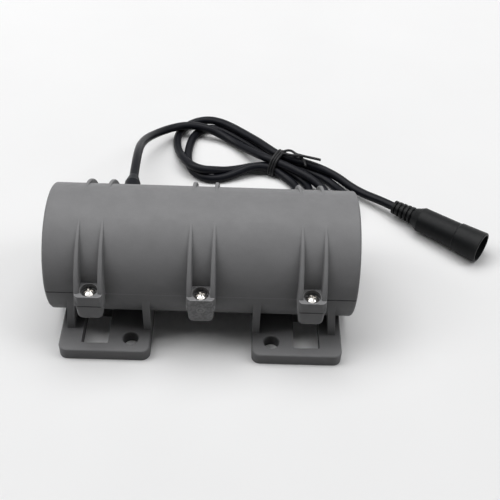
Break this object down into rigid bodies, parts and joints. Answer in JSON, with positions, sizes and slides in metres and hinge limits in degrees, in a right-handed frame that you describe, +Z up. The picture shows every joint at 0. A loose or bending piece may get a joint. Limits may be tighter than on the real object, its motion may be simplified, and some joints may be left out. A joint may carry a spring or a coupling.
{
  "type": "vibration motor",
  "caption": "Cylindrical direct-current vibration motor in a ribbed two-part plastic housing with bolt-down feet, eccentric weights inside and a tied cable with an in-line round socket.",
  "frame": {"origin": "on the mounting surface, midway between the feet and under the motor axis", "axes": "+X along the motor axis, +Y towards the cable side, +Z up from the mounting surface"},
  "size_m": [0.166, 0.1382, 0.047],
  "materials": {
    "housing_plastic": "fine moulded texture, mid grey",
    "screw_metal": "nickel plated",
    "can_steel": "zinc plated drawn steel",
    "end_bell_plastic": "black moulded plastic",
    "magnet_ferrite": "sintered ferrite",
    "spring_steel": "spring steel",
    "carbon": "pressed carbon",
    "copper": "enamelled and bare copper",
    "contact_metal": "phosphor bronze and tinned brass",
    "red_insulation": "red PVC",
    "black_insulation": "black PVC",
    "bearing_steel": "ground bearing steel",
    "cage_metal": "pressed cage",
    "shaft_steel": "ground steel",
    "core_steel": "stacked laminations",
    "weight_steel": "turned and milled steel",
    "grub_steel": "black oxide",
    "cable_pvc": "satin black PVC",
    "tie_pvc": "black coated wire",
    "connector_pvc": "black moulded PVC",
    "insert_plastic": "black plastic",
    "pin_metal": "nickel plated"
  },
  "bodies": {
    "housing": {"lower_shell": "housing_plastic", "upper_shell": "housing_plastic", "shell_screws": "screw_metal", "motor_can": "can_steel", "end_bell": "end_bell_plastic", "magnets": "magnet_ferrite", "magnet_clips": "spring_steel", "carbon_brushes": "carbon", "brush_arms": "contact_metal", "motor_terminals": "contact_metal", "red_lead": "red_insulation", "black_lead": "black_insulation", "left_bearing_outer_ring": "bearing_steel", "right_bearing_outer_ring": "bearing_steel", "cable_gland": "cable_pvc", "power_cable": "cable_pvc", "cable_hank": "cable_pvc", "cable_tail": "cable_pvc", "twist_tie": "tie_pvc", "connector_body": "connector_pvc", "socket_insert": "insert_plastic", "socket_contact": "contact_metal", "socket_pin": "pin_metal"},
    "rotor": {"rotor_shaft": "shaft_steel", "armature_core": "core_steel", "armature_windings": "copper", "commutator": "copper", "commutator_sleeve": "end_bell_plastic", "shaft_spacers": "contact_metal", "left_eccentric_weight": "weight_steel", "right_eccentric_weight": "weight_steel", "weight_grub_screws": "grub_steel", "left_bearing_inner_ring": "bearing_steel", "right_bearing_inner_ring": "bearing_steel"},
    "left_ball_set": {"left_bearing_balls": "bearing_steel", "left_bearing_cage": "cage_metal"},
    "right_ball_set": {"right_bearing_balls": "bearing_steel", "right_bearing_cage": "cage_metal"}
  },
  "joints": [
    {"name": "rotor_spin", "type": "hinge", "parent": "housing", "child": "rotor", "pos_m": [0, 0, 0.0245], "axis": [1, 0, 0], "continuous": true},
    {"name": "left_ball_orbit", "type": "hinge", "parent": "housing", "child": "left_ball_set", "pos_m": [-0.02525, 0, 0.0245], "axis": [1, 0, 0], "continuous": true},
    {"name": "right_ball_orbit", "type": "hinge", "parent": "housing", "child": "right_ball_set", "pos_m": [0.02525, 0, 0.0245], "axis": [1, 0, 0], "continuous": true}
  ],
  "couplings": [
    {"joint": "left_ball_orbit", "follows": "rotor_spin", "ratio": 0.3667},
    {"joint": "right_ball_orbit", "follows": "rotor_spin", "ratio": 0.3667}
  ]
}
